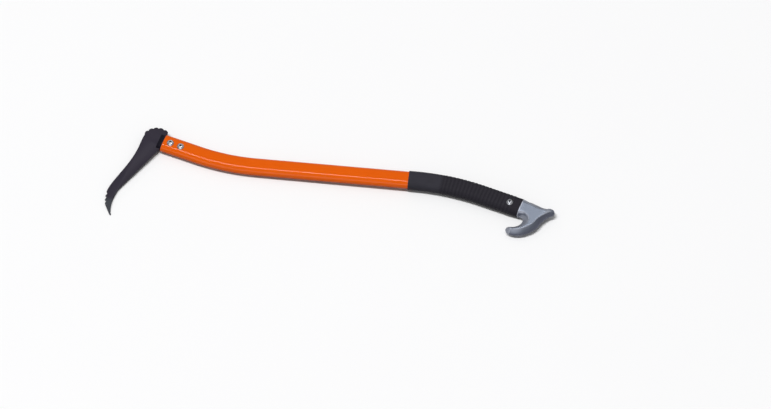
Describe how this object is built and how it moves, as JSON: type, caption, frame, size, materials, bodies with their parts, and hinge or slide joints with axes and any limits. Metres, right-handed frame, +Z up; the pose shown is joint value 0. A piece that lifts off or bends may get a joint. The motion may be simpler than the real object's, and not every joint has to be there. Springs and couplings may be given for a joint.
{
  "type": "pickaroon",
  "caption": "Log handling pickaroon: toothed steel pick plate in a bent flat oval aluminium handle, with a ribbed rubber grip and a cast pommel with a finger hook.",
  "frame": {"origin": "centre of the footprint of the tool's bounding box, on the surface that the tool lies on", "axes": "+X along the tool from the pick to the pommel, +Y to the crown's side, +Z up, with the tool lying on its side"},
  "size_m": [0.8278, 0.2064, 0.0255],
  "materials": {
    "orange_paint": "gloss",
    "dark_steel": "satin",
    "black_nylon": "matte",
    "black_rubber": "matte",
    "cast_aluminium": "satin",
    "bright_steel": "polished"
  },
  "bodies": {
    "root": {"handle_tube": "orange_paint", "pick_blade": "dark_steel", "upper_liner": "black_nylon", "lower_liner": "black_nylon", "grip_sleeve": "black_rubber", "pommel": "cast_aluminium", "head_front_screw": "bright_steel", "head_front_nut": "bright_steel", "head_rear_screw": "bright_steel", "head_rear_nut": "bright_steel", "pommel_screw": "bright_steel", "pommel_nut": "bright_steel"}
  },
  "joints": []
}
